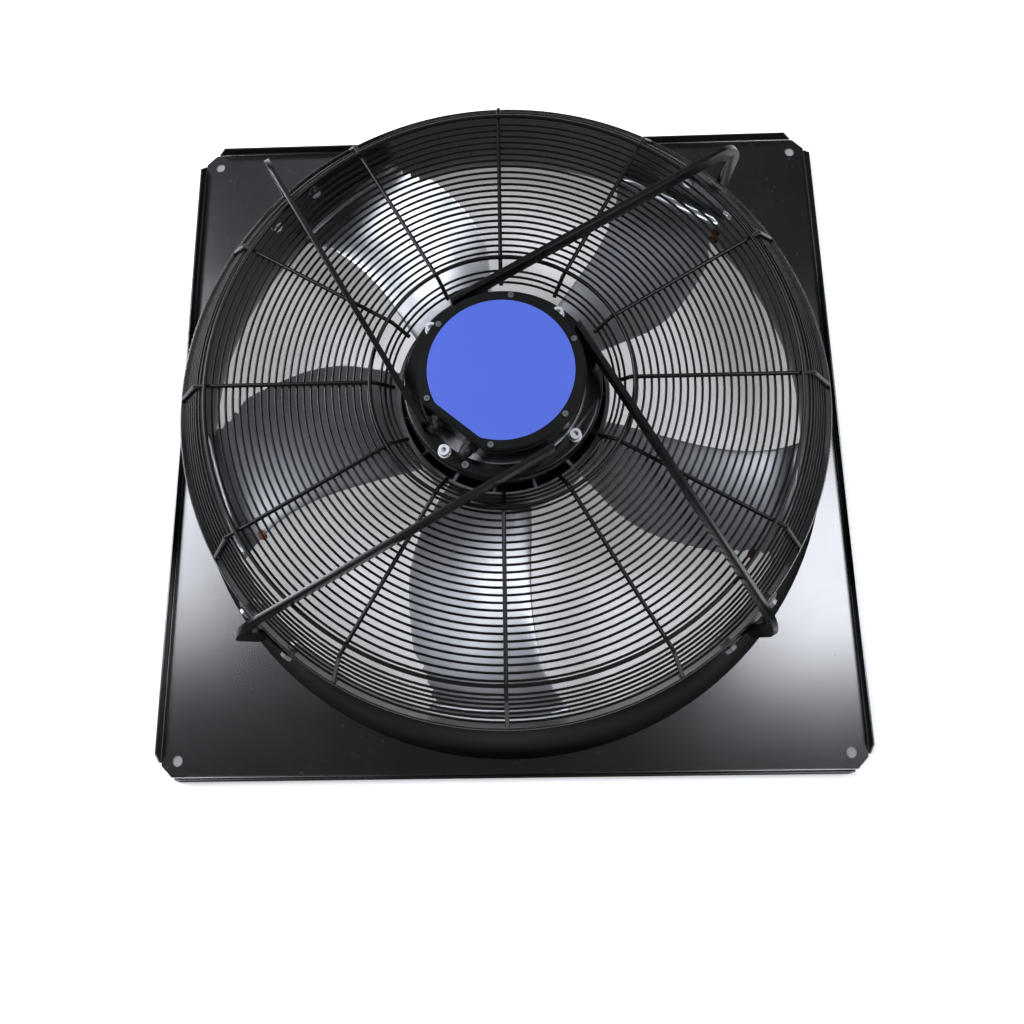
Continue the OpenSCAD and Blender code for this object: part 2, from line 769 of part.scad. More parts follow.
// Outer ring and balls of a bearing; the inner ring turns with the shaft
module bearing_outer(z) {
    color(steel) translate([0, 0, z]) {
        rotate_extrude() difference() {
            translate([ball_pitch + ball_r * 0.45, 0])
                square([bearing_r - seat / 3 - ball_pitch - ball_r * 0.45, bearing_w]);
            translate([ball_pitch, bearing_w / 2]) circle(r = ball_r + race_gap, $fn = 48);
        }
        ring_of(ball_n) translate([ball_pitch, 0, bearing_w / 2]) sphere(r = ball_r, $fn = 48);
    }
}

module lower_bearing() { bearing_outer(lower_bearing_z); }
module upper_bearing() { bearing_outer(upper_bearing_z); }

module bearing_inner_rings() {
    color(steel) for (z = [lower_bearing_z, upper_bearing_z]) translate([0, 0, z])
        rotate_extrude() difference() {
            translate([shaft_r + seat / 3, 0])
                square([ball_pitch - ball_r * 0.45 - shaft_r - seat / 3, bearing_w]);
            translate([ball_pitch, bearing_w / 2]) circle(r = ball_r + race_gap, $fn = 48);
        }
}

// Preload washer above the upper bearing
module wave_washer() {
    color("#4a4d52") washer_shape(bearing_r - 1, bearing_r - 4.5,
        upper_bearing_z + bearing_w + seat, washer_h - 2 * seat);
}

module shaft() {
    groove_z = lower_bearing_z - 1.6;
    color("#8d9196") difference() {
        translate([0, 0, rotor_z + 1]) cylinder(h = shaft_top - rotor_z - 1, r = shaft_r);
        washer_shape(shaft_r + 2, shaft_r - 1, groove_z, 1.4);
    }
}

// Retaining ring in the shaft's groove, below the lower bearing
module shaft_circlip() {
    color("#4a4d52") translate([0, 0, lower_bearing_z - 1.5]) difference() {
        cylinder(h = 1.2, r = shaft_r + 3);
        translate([0, 0, -cut]) cylinder(h = 4, r = shaft_r - 0.8);
        translate([0, -3, -cut]) cube([shaft_r + 5, 6, 4]);
    }
}

// Cup that turns round the stator, closed on the inlet side
module rotor_bell() {
    color("#202225") difference() {
        union() {
            translate([0, 0, rotor_z]) cylinder(h = rotor_h, r = rotor_r);
        }
        difference() {
            translate([0, 0, rotor_z + rotor_floor]) cylinder(h = rotor_h, r = magnet_or);
            translate([0, 0, rotor_z]) cylinder(h = rotor_floor + boss_h, r = boss_r);
            ring_of(8) translate([boss_r - 2, -2, rotor_z])
                cube([magnet_or - boss_r, 4, rotor_floor + 8]);
        }
        translate([0, 0, rotor_z - cut]) cylinder(h = rotor_floor + boss_h + 2 * cut, r = shaft_r);
        ring_of(24) translate([boss_r + 14, -2.5, rotor_z - cut])
            cube([hub_lip_r - boss_r - 20, 5, cut + 3]);
        ring_of(blade_n) translate([hub_screw_r, 0, rotor_z - cut])
            cylinder(h = 8, d = 6 + 2 * seat);
    }
}

module rotor_magnets() {
    part = 360 / 10;
    z = core_z - 3;
    color("#5d6166") ring_of(10) rotate([0, 0, 1]) translate([0, 0, z])
        rotate_extrude(angle = part - 2) translate([magnet_or - magnet_t, 0])
            square([magnet_t - seat, core_h + 6]);
}

// Cast hub: a floor that the rotor bell stands on, two walls and ribs between them
module hub() {
    round = 12;
    inner = rotor_r + seat;
    color(alloy) {
        difference() {
            rotate_extrude($fn = 144) difference() {
                union() {
                    translate([hub_lip_r, hub_z]) square([hub_r - round - hub_lip_r, hub_floor]);
                    translate([inner, hub_z]) square([hub_r - round - inner, hub_h]);
                    translate([hub_r - round, hub_z + round]) square([round, hub_h - round]);
                    translate([hub_r - round, hub_z + round]) intersection() {
                        circle(r = round);
                        translate([0, -round]) square(round);
                    }
                }
                translate([inner + hub_wall, hub_z + hub_floor + 4])
                    square([hub_r - inner - 2 * hub_wall, hub_h]);
            }
            ring_of(blade_n) translate([hub_screw_r, 0, hub_z - cut])
                cylinder(h = hub_floor + 2 * cut, d = 6 + bolt_clear);
        }
        ring_of(3 * blade_n) translate([inner + 2, -2, hub_z + hub_floor])
            cube([hub_r - inner - 4, 4, hub_h - hub_floor - 12]);
    }
}

module hub_screws() {
    color(steel) ring_of(blade_n) translate([hub_screw_r, 0, hub_z - seat]) mirror([0, 0, 1])
        socket_bolt(6, hub_floor + 5);
}

// Blade sections lie on cylinders round the axis. Row radius for u from 0 at the root to 1
function row_r(u) = mix(hub_r + root_gap, tip_r, u);
function lead_angle(u) = 14.7 - 27.4 * u + 24 * u * u;
function trail_angle(u) = -31 + 16.5 * smooth((u - 0.2) / 0.8);
function lead_z(u) = hub_z + 16 + 63.8 * u - 55.8 * u * u;
function trail_z(u) = hub_z + hub_h - 2 - 18.1 * u - 27.9 * u * u;
// Share of the greatest thickness at v, from 0 at the leading edge to 1 at the trailing edge
function section(v) = 2.97 * sqrt(v) - 1.26 * v - 3.52 * v * v + 2.84 * v * v * v
    - 1.04 * v * v * v * v + 0.15 * v;
function edge_angle(u, v) = mix(lead_angle(u), trail_angle(u), v);
// Middle line of a section, as distance round the cylinder and height
function mid_line(u, v) = [row_r(u) * edge_angle(u, v) * PI / 180,
    mix(lead_z(u), trail_z(u), v) - camber * 4 * v * (1 - v)];
function thickness(u, v) = let (t = mix(blade_t_root, blade_t_tip, u)
    + 7 * exp(-(row_r(u) - hub_r) / 9)) t * section(v);
// Extra height of the winglet, which stands on the last few millimetres of the tip
function winglet(u, v) = let (e = (row_r(u) - tip_r) + 6)
    winglet_h * smooth(e / 3) * smooth(v / 0.15) * smooth((1 - v) / 0.06);
// Share of the chord that v lies at, with the teeth and notches of the trailing edge
function notched(u, v) = v + lookup(u, stations) * smooth((v - 0.8) / 0.2)
    / norm(mid_line(u, 1) - mid_line(u, 0));
// A point on the upper (side 1) or lower (side -1) face
function face_point(u, v, side) = let (w = notched(u, v), m = mid_line(u, w),
    t = mid_line(u, w + 0.01) - mid_line(u, max(0, w - 0.01)),
    n = [t[1], -t[0]] / norm(t),
    h = thickness(u, v) / 2 + (side > 0 ? winglet(u, v) : 0.3 * winglet(u, v)),
    q = m + n * h * side, a = q[0] / row_r(u) * 180 / PI)
    concat(polar(row_r(u), a), [q[1]]);
function row_u(i) = stations[i][0];
function column_v(j) = (1 - cos(180 * j / columns)) / 2;

// One blade as a closed skin: rings of points from the root to the tip
module blade(i) {
    n = 2 * columns;
    points = [for (i = [0:rows - 1]) each concat(
        [for (j = [0:columns]) face_point(row_u(i), column_v(j), 1)],
        [for (j = [columns:-1:1]) face_point(row_u(i), column_v(j), -1)])];
    m = n + 1;
    skin = [for (i = [0:rows - 2], j = [0:m - 1]) let (a = i * m + j, b = i * m + (j + 1) % m)
        each [[a, a + m, b], [b, a + m, b + m]]];
    root = [for (j = [1:columns]) each cap(j, m, 0, false)];
    tip = [for (j = [1:columns]) each cap(j, m, (rows - 1) * m, true)];
    color("#c4c8cc") rotate([0, 0, blade_turn + i * 360 / blade_n])
        polyhedron(points = points, faces = concat(skin, root, tip), convexity = 6);
}

// Two triangles that close one strip of an end, between its upper and lower edges
function cap(j, m, base, flip) = let (a = base + j - 1, b = base + j,
    c = base + (m - j) % m, d = base + (m - j + 1) % m,
    f = j == 1 ? [[a, b, c]] : [[a, b, c], [a, c, d]])
    [for (t = f) flip ? [t[0], t[2], t[1]] : t];

module blade_1() { blade(0); }
module blade_2() { blade(1); }
module blade_3() { blade(2); }
module blade_4() { blade(3); }
module blade_5() { blade(4); }

// Spring clips on blade edges that balance the impeller: blade number, place and edge
balance_at = [[1, tooth_u(2), 1], [2, tooth_u(3), 1], [2, tooth_u(2), 1], [4, 0.86, 0]];

module balance_clips() {
    color("#9a5a34") for (b = balance_at) {
        u = b[1];
        v = b[2] == 1 ? notched(u, 0.976) : 0.022;
        out = b[2] == 1 ? 1 : -1;
        m = mid_line(u, v);
        t = (mid_line(u, v + 0.01) - mid_line(u, v - 0.01)) * out;
        tilt = atan2(t[1], t[0]);
        across = [(edge_angle(u + 0.02, v) - edge_angle(u - 0.02, v)) * row_r(u) * PI / 180,
            mid_line(u + 0.02, v)[1] - mid_line(u - 0.02, v)[1]];
        rise = across * [-sin(tilt), cos(tilt)];
        rotate([0, 0, blade_turn + b[0] * 360 / blade_n + edge_angle(u, v)])
            translate([row_r(u), 0, m[1]]) rotate([tilt, 0, 0])
                rotate([0, -atan2(rise, row_r(u + 0.02) - row_r(u - 0.02)), 0])
                    clip(clip_len, b[2] == 1 ? clip_slot : lead_slot);
    }
}

// U-shaped clip, closed on its +Y side
module clip(length, slot) {
    translate([0, 0, -slot / 2 - clip_wall]) difference() {
        translate([-clip_w / 2, -length / 2, 0])
            cube([clip_w, length + clip_wall, slot + 2 * clip_wall]);
        translate([-clip_w / 2 - cut, -length / 2 - cut, clip_wall])
            cube([clip_w + 2 * cut, length + cut, slot]);
    }
}

wall_plate();
nozzle_ring();
guard_rings();
guard_spokes();
guard_hoops();
arm_1();
arm_2();
arm_3();
arm_4();
foot_bolts();
foot_nuts();
motor_ring();
motor_bolts();
earth_screw();
stator_flange();
electronics_housing();
circuit_board();
board_capacitors();
lid_gasket();
housing_lid();
lid_label();
lid_screws();
cable_glands();
gland_plugs();
stator_core();
stator_windings();
lower_bearing();
upper_bearing();
wave_washer();
shaft();
bearing_inner_rings();
shaft_circlip();
rotor_bell();
rotor_magnets();
hub();
hub_screws();
blade_1();
blade_2();
blade_3();
blade_4();
blade_5();
balance_clips();
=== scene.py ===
"""Dresses an industrial axial fan: powder-coated steel, a welded wire guard, cast aluminium blades
and a plain blue film on the motor lid, on a pale floor under three softboxes."""

import math

import bmesh
import bpy
from bpy.props import FloatProperty, FloatVectorProperty, IntProperty, PointerProperty
from mathutils import Matrix, Vector


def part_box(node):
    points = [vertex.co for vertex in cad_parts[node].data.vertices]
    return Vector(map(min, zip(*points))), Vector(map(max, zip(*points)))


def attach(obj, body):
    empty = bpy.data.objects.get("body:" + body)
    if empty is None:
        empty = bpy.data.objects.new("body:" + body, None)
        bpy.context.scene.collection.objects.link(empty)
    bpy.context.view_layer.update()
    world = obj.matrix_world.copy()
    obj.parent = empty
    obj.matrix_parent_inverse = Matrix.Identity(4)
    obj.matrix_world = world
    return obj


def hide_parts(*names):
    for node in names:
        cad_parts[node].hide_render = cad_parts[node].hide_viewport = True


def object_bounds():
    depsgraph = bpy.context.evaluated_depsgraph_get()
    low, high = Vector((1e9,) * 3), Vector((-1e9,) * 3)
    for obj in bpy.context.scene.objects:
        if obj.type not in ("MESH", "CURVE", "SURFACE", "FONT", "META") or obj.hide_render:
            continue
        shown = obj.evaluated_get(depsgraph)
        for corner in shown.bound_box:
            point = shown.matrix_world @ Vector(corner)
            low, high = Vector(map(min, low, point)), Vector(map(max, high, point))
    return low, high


bl_info = {
    "name": "Axial Wall Fan",
    "version": (1, 0, 0),
    "blender": (4, 5, 0),
    "location": "3D View > Sidebar > Fan",
    "description": "Surfaces, welds and a studio for an axial fan on a square wall plate",
    "category": "Object",
}

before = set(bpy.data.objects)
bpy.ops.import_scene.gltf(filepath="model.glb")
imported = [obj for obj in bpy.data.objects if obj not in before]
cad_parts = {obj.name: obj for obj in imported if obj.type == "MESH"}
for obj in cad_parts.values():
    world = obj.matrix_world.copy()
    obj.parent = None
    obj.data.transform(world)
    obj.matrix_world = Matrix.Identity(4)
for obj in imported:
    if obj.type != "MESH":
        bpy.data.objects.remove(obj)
CAD_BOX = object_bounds()
MM = 0.001

COAT_IOR = 1.68
PLASTIC_IOR = 1.49
FILM_IOR = 1.57
SCUFF_COLOUR = "#54575B"
# A band of a wave texture with a scale of 1 repeats after this many metres
WAVE_REPEAT = 0.314
COPPER_WIRE = 1.1 * MM
# Size of the pits that spark erosion leaves in a mould, drawn coarser than real ones
SPARK = 0.8 * MM
CORE_SHEET = 1.0 * MM

# Corners of a solid's mesh that lie closer than this are one corner
SAME_POINT = 0.005 * MM
BLADES = 5
# A blade's root and tip faces look along the radius at least this straight
END_FACING = 0.97
END_CREASE = 0.9
SOFTENED = ("arm_1", "arm_2", "arm_3", "arm_4", "motor_ring")
SOFT_SEGMENTS = 2
RIM_RADIUS = 402 * MM
RIM_THICKNESS = 2.3 * MM
NUGGET_SHAPE = (1.1, 1.5, 0.8)

FLOOR_GAP = 0.3 * MM
FLOOR_HALF_WIDTH = 14
# Distance along X and along Y from the fan's axis to a corner hole
HOLE_PLACE = 455 * MM
# Distances from a corner hole's middle between which the painted shade on the floor ends
HOLE_PAINTED_SHADE = (10 * MM, 13 * MM)
# Distances past the CAD box's side between which the floor's full lift sets in
LIFT_STARTS = (-2 * MM, 20 * MM)
# Each softbox faces the fan: its place, its width and its height, in metres
SOFTBOXES = {
    "left": (Vector((-1.76, 0.38, 2.3)), 1.2, 0.85),
    "right": (Vector((1.39, 0.12, 2.3)), 1.1, 0.85),
    "back": (Vector((-2.15, 1.05, 2.15)), 0.55, 0.6),
}
SENSOR_WIDTH = 36
# Focal length of the fitted camera, and the width of its image, in pixels
FOCAL_PIXELS = 701.818
IMAGE_WIDTH = 1024


def linear(code):
    """Turns an sRGB hex value into linear red, green and blue."""
    channels = [int(code[i : i + 2], 16) / 255 for i in (1, 3, 5)]
    return [c / 12.92 if c <= 0.04045 else ((c + 0.055) / 1.055) ** 2.4 for c in channels]


def colour_property(name, description, code):
    """A colour that a user can change, with its default from a hex value."""
    return FloatVectorProperty(
        name=name, description=description, subtype="COLOR", size=3, min=0, max=1,
        default=linear(code),
    )


def scaled(colour, factor):
    """A colour made lighter or darker."""
    return [min(1, channel * factor) for channel in colour]


class FanCoatSettings(bpy.types.PropertyGroup):
    """Black powder coat on the sheet steel, the arms and the wires."""

    tint: colour_property("Coat colour", "Colour of the black powder coat", "#0B0C0D")
    worn: colour_property("Rubbed colour", "Colour where the coat is rubbed or dusty", "#17191B")
    roughness: FloatProperty(
        name="Roughness", description="Roughness of the cured coat", default=0.24, min=0.05, max=1
    )
    peel: FloatProperty(
        name="Peel size", description="Width of the orange-peel ripples", default=4 * MM,
        min=0.5 * MM, max=0.02, unit="LENGTH",
    )
    peel_depth: FloatProperty(
        name="Peel depth", description="Height of the orange-peel ripples", default=0.0015 * MM,
        min=0, max=MM, unit="LENGTH", precision=5,
    )
    edge: FloatProperty(
        name="Edge", description="Width of the rounding on arms and motor ring", default=0.8 * MM,
        min=0, max=0.003, unit="LENGTH", precision=4,
    )


class FanBladeSettings(bpy.types.PropertyGroup):
    """Cast aluminium blades and hub."""

    tint: colour_property("Aluminium", "Colour of the blasted die-cast aluminium", "#C6C8CB")
    roughness: FloatProperty(
        name="Roughness", description="Roughness of the cast skin", default=0.4, min=0.05, max=1
    )
    grain: FloatProperty(
        name="Grain", description="Grain of the cast skin, drawn coarse enough to show",
        default=1.5 * MM, min=0.2 * MM, max=0.02, unit="LENGTH",
    )
    levels: IntProperty(
        name="Smoothing", description="Subdivision of the blade surface", default=2, min=0, max=3
    )


class FanLabelSettings(bpy.types.PropertyGroup):
    """Plain film on the motor lid."""

    tint: colour_property("Film colour", "Colour of the printed film", "#4A64CC")
    roughness: FloatProperty(
        name="Roughness", description="Roughness of the film", default=0.42, min=0.05, max=1
    )


class FanWeldSettings(bpy.types.PropertyGroup):
    """Welds of the guard, in the sizes of the wires they join."""

    spokes: IntProperty(name="Spokes", description="Number of guard spokes", default=12, min=3)
    rings: IntProperty(
        name="Flat rings", description="Fine rings on the guard's flat face", default=23
    )
    first_ring: FloatProperty(
        name="First ring", description="Radius of the innermost flat ring", default=160.25 * MM,
        unit="LENGTH",
    )
    ring_pitch: FloatProperty(
        name="Ring pitch", description="Distance between fine rings", default=8.5 * MM,
        unit="LENGTH",
    )
    weld_height: FloatProperty(
        name="Weld height", description="Height where rings and spokes meet", default=207.9 * MM,
        unit="LENGTH",
    )
    nugget: FloatProperty(
        name="Nugget", description="Radius of a weld nugget", default=1.7 * MM, unit="LENGTH"
    )


class FanStageSettings(bpy.types.PropertyGroup):
    """Floor, lights and the camera fitted to the plate's four corner holes."""

    floor: colour_property("Floor", "Colour of the paper floor", "#F4F5F6")
    haze: FloatProperty(
        name="Floor lift", description="Light that the floor adds for the camera only",
        default=0.62, min=0, max=1,
    )
    # Painted light: the share of the camera glow that the floor under the fan keeps
    painted_light_under_fan: FloatProperty(
        name="Inner lift", description="Share of the floor lift that is left inside the plate",
        default=0.4, min=0, max=1,
    )
    # Painted shade: how bright the floor stays where the corner holes show it
    hole_painted_shade: FloatProperty(
        name="Under the holes", description="Brightness of the floor that the corner holes show",
        default=0.3, min=0, max=1,
    )
    ceiling: colour_property("Ceiling", "Colour of the room above the fan", "#3E4043")
    wall: colour_property("Wall", "Colour of the room round the horizon", "#E6E8EA")
    panel: colour_property("Panel", "Colour of the grey panel behind the fan", "#C2C6CE")
    panel_turn: FloatProperty(
        name="Panel turn", description="Direction of the panel about the vertical", subtype="ANGLE",
        default=math.radians(96),
    )
    panel_height: FloatProperty(
        name="Panel height", description="Height of the panel over the horizon", subtype="ANGLE",
        default=math.radians(40),
    )
    panel_spread: FloatProperty(
        name="Panel spread", description="Angle from the panel's middle to its edge",
        subtype="ANGLE", default=math.radians(17),
    )
    lamp_tint: colour_property("Lamp colour", "Colour of the daylight flash tubes", "#F4F7FF")
    right_power: FloatProperty(
        name="Right softbox", description="Power of the right softbox", default=35, min=0,
        unit="POWER",
    )
    left_power: FloatProperty(
        name="Left softbox", description="Power of the left softbox", default=30, min=0,
        unit="POWER",
    )
    back_power: FloatProperty(
        name="Back softbox", description="Power of the softbox behind on the left", default=54,
        min=0, unit="POWER",
    )
    target: FloatVectorProperty(
        name="Target", description="Point that the camera looks at", size=3, subtype="TRANSLATION",
        unit="LENGTH", default=(5.611 * MM, -118.704 * MM, 2 * MM),
    )
    distance: FloatProperty(
        name="Distance", description="Distance from the camera to its target",
        default=1010.987 * MM, unit="LENGTH",
    )
    azimuth: FloatProperty(
        name="Azimuth", description="Camera turn about the vertical", subtype="ANGLE",
        default=math.radians(5.267),
    )
    elevation: FloatProperty(
        name="Elevation", description="Camera height above the horizon", subtype="ANGLE",
        default=math.radians(78.805),
    )
    roll: FloatProperty(
        name="Roll", description="Camera turn about its own axis", subtype="ANGLE",
        default=math.radians(6.279),
    )
    lens: FloatProperty(
        name="Lens", description="Focal length on a 36 mm sensor", min=1, unit="CAMERA",
        default=SENSOR_WIDTH * FOCAL_PIXELS / IMAGE_WIDTH,
    )


def add(tree, kind, inputs=None, **settings):
    """Adds a node, sets its settings and sets or links its sockets."""
    item = tree.nodes.new(kind)
    for key, value in settings.items():
        setattr(item, key, value)
    for socket, value in (inputs or {}).items():
        if isinstance(value, bpy.types.NodeSocket):
            tree.links.new(value, item.inputs[socket])
        else:
            item.inputs[socket].default_value = value
    return item


def empty_material(name):
    """A material with nothing in its node tree."""
    material = bpy.data.materials.get(name) or bpy.data.materials.new(name)
    material.use_nodes = True
    material.node_tree.nodes.clear()
    return material, material.node_tree


def close_material(tree, shader):
    """Links a shader to the material's output."""
    add(tree, "ShaderNodeOutputMaterial", {"Surface": shader.outputs[0]})


def object_place(tree):
    """The place on the piece, in metres."""
    return add(tree, "ShaderNodeTexCoord").outputs["Object"]


def noise(tree, place, per_metre, detail, roughness=0.5):
    """Cloudy noise between 0 and 1, with about one cloud in 1 / per_metre metres."""
    return add(
        tree, "ShaderNodeTexNoise",
        {"Vector": place, "Scale": per_metre, "Detail": detail, "Roughness": roughness},
    ).outputs["Fac"]


def stripes(tree, place, pitch, wobble=0.0):
    """Level stripes that repeat every pitch along Z."""
    return add(
        tree, "ShaderNodeTexWave",
        {"Vector": place, "Scale": WAVE_REPEAT / pitch, "Distortion": wobble}, bands_direction="Z",
    ).outputs["Fac"]


def mix(tree, factor, first, second):
    """Blends two colours, each of them a socket or red, green and blue."""
    colours = [c if isinstance(c, bpy.types.NodeSocket) else (*c, 1) for c in (first, second)]
    return add(
        tree, "ShaderNodeMix", {0: factor, 6: colours[0], 7: colours[1]}, data_type="RGBA"
    ).outputs[2]


def spread(tree, value, low, high, to_low=0.0, to_high=1.0, **settings):
    """Maps the range from low to high onto the range from to_low to to_high."""
    return add(
        tree, "ShaderNodeMapRange",
        {"Value": value, "From Min": low, "From Max": high, "To Min": to_low, "To Max": to_high},
        **settings,
    ).outputs["Result"]


def combine(tree, operation, first, second):
    """The larger or the product of two values."""
    return add(tree, "ShaderNodeMath", {0: first, 1: second}, operation=operation).outputs[0]


def bump(tree, height, depth, strength=1.0):
    """A normal that follows a height texture."""
    return add(
        tree, "ShaderNodeBump", {"Height": height, "Strength": strength, "Distance": depth}
    ).outputs["Normal"]


def surface(tree, colour, roughness, **more):
    """Closes a material with a principled shader. A name like coat_weight sets "Coat Weight"."""
    inputs = {"Base Color": colour, "Roughness": roughness}
    for key, value in more.items():
        inputs[key.replace("_", " ").title().replace("Ior", "IOR")] = value
    close_material(tree, add(tree, "ShaderNodeBsdfPrincipled", inputs))


def powder_coat(name, coat, roughness_change=0.0, shade=1.0, shine=0.8, scuffs=0.0):
    """Cured black polyester powder: glossy, with faint orange peel, rubbed patches and scuffs."""
    material, tree = empty_material(name)
    place = object_place(tree)
    cloud = noise(tree, place, 9.0, detail=4.0, roughness=0.6)
    rubbed = spread(tree, cloud, 0.45, 0.75, 0.0, 0.3)
    # A shade below 1 makes a darker copy of the same coat: painted shade on the piece, not a darker
    # paint
    tint = mix(tree, rubbed, scaled(coat.tint, shade), scaled(coat.worn, shade))
    # Scuffs and specks that cross the sheet, drawn coarser than the real hairlines
    stretched = add(
        tree, "ShaderNodeMapping",
        {"Vector": place, "Rotation": (0, 0, math.radians(35)), "Scale": (320, 9, 1)},
    )
    hairs = noise(tree, stretched.outputs["Vector"], 1.0, detail=2.0)
    specks = noise(tree, place, 1 / (5 * MM), detail=1.0)
    marks = spread(tree, combine(tree, "MAXIMUM", hairs, specks), 0.7, 0.8, 0.0, scuffs)
    tint = mix(tree, marks, tint, linear(SCUFF_COLOUR))
    base = coat.roughness + roughness_change
    gloss = spread(tree, cloud, 0.3, 0.7, base - 0.01, base + 0.02)
    ripple = noise(tree, place, 1 / coat.peel, detail=2.0)
    normal = bump(tree, ripple, coat.peel_depth)
    surface(tree, tint, gloss, normal=normal, ior=COAT_IOR, specular_ior_level=shine)
    return material


def cast_aluminium(name, blade, roughness_change=0.0, painted_shade=1.0):
    """Blasted die-cast aluminium: bright and softly reflecting, with fine grain and stains."""
    material, tree = empty_material(name)
    place = object_place(tree)
    cloud = noise(tree, place, 14.0, detail=5.0)
    # A factor below 1 darkens the aluminium's colour: painted shade, which the hub under the motor
    # takes
    light = scaled(blade.tint, painted_shade)
    tint = mix(tree, cloud, scaled(light, 0.8), light)
    base = blade.roughness + roughness_change
    gloss = spread(tree, cloud, 0.3, 0.7, base + 0.05, base - 0.04)
    grain = noise(tree, place, 1 / blade.grain, detail=3.0)
    normal = bump(tree, grain, 0.02 * MM, strength=0.6)
    surface(tree, tint, gloss, metallic=1.0, normal=normal)
    return material


def turned_metal(name, code, roughness, streak_mm=0.6):
    """Turned or rolled metal: fine tool marks across the axis and a slightly uneven gloss."""
    material, tree = empty_material(name)
    stretched = add(
        tree, "ShaderNodeMapping", {"Vector": object_place(tree), "Scale": (0.1, 0.1, 1.0)}
    )
    marks = noise(tree, stretched.outputs["Vector"], 1 / (streak_mm * MM), detail=2.0)
    tint = mix(tree, marks, scaled(linear(code), 0.75), linear(code))
    gloss = spread(tree, marks, 0.0, 1.0, roughness - 0.05, roughness + 0.08)
    surface(tree, tint, gloss, metallic=1.0)
    return material


def moulded_plastic(name, code, roughness):
    """Moulded plastic or rubber: an even colour and the spark-eroded texture of its mould."""
    material, tree = empty_material(name)
    spark = add(
        tree, "ShaderNodeTexVoronoi", {"Vector": object_place(tree), "Scale": 1 / SPARK}
    ).outputs["Distance"]
    tint = mix(tree, spark, linear(code), scaled(linear(code), 1.3))
    normal = bump(tree, spark, 0.02 * MM, strength=0.5)
    surface(tree, tint, roughness, normal=normal, ior=PLASTIC_IOR)
    return material


def printed_film(name, label):
    """Polyester film printed on its back: an even colour under a faint satin emboss."""
    material, tree = empty_material(name)
    place = object_place(tree)
    shade = noise(tree, place, 25.0, detail=3.0)
    tint = mix(tree, shade, scaled(label.tint, 0.94), scaled(label.tint, 1.05))
    emboss = noise(tree, place, 1 / (0.9 * MM), detail=1.0)
    normal = bump(tree, emboss, 0.01 * MM, strength=0.4)
    surface(tree, tint, label.roughness, normal=normal, ior=FILM_IOR)
    return material


def enamelled_copper(name):
    """Round copper wire under clear enamel, wound in layers: stripes a wire's width apart."""
    material, tree = empty_material(name)
    layers = stripes(tree, object_place(tree), COPPER_WIRE, wobble=0.4)
    tint = mix(tree, layers, linear("#5E2A14"), linear("#C06A34"))
    normal = bump(tree, layers, 0.3 * MM, strength=0.8)
    surface(tree, tint, 0.3, metallic=0.85, normal=normal, coat_weight=0.5)
    return material


def laminated_steel(name):
    """A stack of punched electrical sheets: grey edges with a dark line between each two."""
    material, tree = empty_material(name)
    sheets = stripes(tree, object_place(tree), CORE_SHEET)
    tint = mix(tree, sheets, linear("#3A3C3F"), linear("#808489"))
    surface(tree, tint, 0.45, metallic=0.9)
    return material


def solder_mask(name):
    """Green solder mask over copper tracks, which show as a lighter grid under the lacquer."""
    material, tree = empty_material(name)
    tracks = add(
        tree, "ShaderNodeTexBrick",
        {"Vector": object_place(tree), "Scale": 1 / (12 * MM), "Color1": (*linear("#1C5B38"), 1),
         "Color2": (*linear("#1A5234"), 1), "Mortar": (*linear("#2E7A50"), 1),
         "Mortar Size": 0.06},
    )
    surface(tree, tracks.outputs["Color"], 0.35, coat_weight=0.4)
    return material


def paper_floor(stage):
    """Seamless paper, which the camera sees a little brighter than it is lit beside the fan."""
    material, tree = empty_material("seamless_paper")
    place = object_place(tree)
    # The four quarters of the floor are alike, so one of them stands for all
    quarter = add(tree, "ShaderNodeVectorMath", {0: place}, operation="ABSOLUTE").outputs[0]
    axes = add(tree, "ShaderNodeSeparateXYZ", {0: quarter})
    side = combine(tree, "MAXIMUM", axes.outputs["X"], axes.outputs["Y"])
    # Inside the plate's outline the floor keeps only a share of its camera glow, painted light on
    # the floor under the fan; past the plate the glow is an even backdrop
    start, full = (CAD_BOX[1][0] + past for past in LIFT_STARTS)
    outside = spread(tree, side, start, full, to_low=stage.painted_light_under_fan)
    # Little light gets under the plate, so where a corner hole shows the floor its colour is
    # darkened and its glow cut: painted shade
    away = add(
        tree, "ShaderNodeVectorMath", {0: quarter, 1: (HOLE_PLACE, HOLE_PLACE, 0)},
        operation="DISTANCE",
    )
    bare = spread(tree, away.outputs["Value"], *HOLE_PAINTED_SHADE, to_low=stage.hole_painted_shade)
    fibre = noise(tree, place, 6.0, detail=3.0)
    tint = mix(tree, fibre, scaled(stage.floor, 0.985), stage.floor)
    tint = mix(tree, bare, (0, 0, 0), tint)
    matt = add(tree, "ShaderNodeBsdfDiffuse", {"Color": tint})
    path = add(tree, "ShaderNodeLightPath")
    seen = combine(tree, "MAXIMUM", path.outputs["Is Camera Ray"], path.outputs["Is Glossy Ray"])
    for share in (outside, bare, stage.haze):
        seen = combine(tree, "MULTIPLY", seen, share)
    glow = add(tree, "ShaderNodeEmission", {"Color": (1, 1, 1, 1), "Strength": seen})
    close_material(
        tree, add(tree, "ShaderNodeAddShader", {0: matt.outputs[0], 1: glow.outputs[0]})
    )
    return material


def new_piece(name, shape, material, body):
    """Makes a bmesh into an object that rides on a body and takes the given finish."""
    bmesh.ops.recalc_face_normals(shape, faces=shape.faces)
    for face in shape.faces:
        face.smooth = True
    mesh = bpy.data.meshes.new(name)
    shape.to_mesh(mesh)
    shape.free()
    mesh.materials.append(material)
    piece = bpy.data.objects.new(name, mesh)
    bpy.context.scene.collection.objects.link(piece)
    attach(piece, body)
    return piece


def polar(radius, angle, height):
    """A point from its distance to the fan axis, its angle and its height."""
    return Vector((radius * math.cos(angle), radius * math.sin(angle), height))


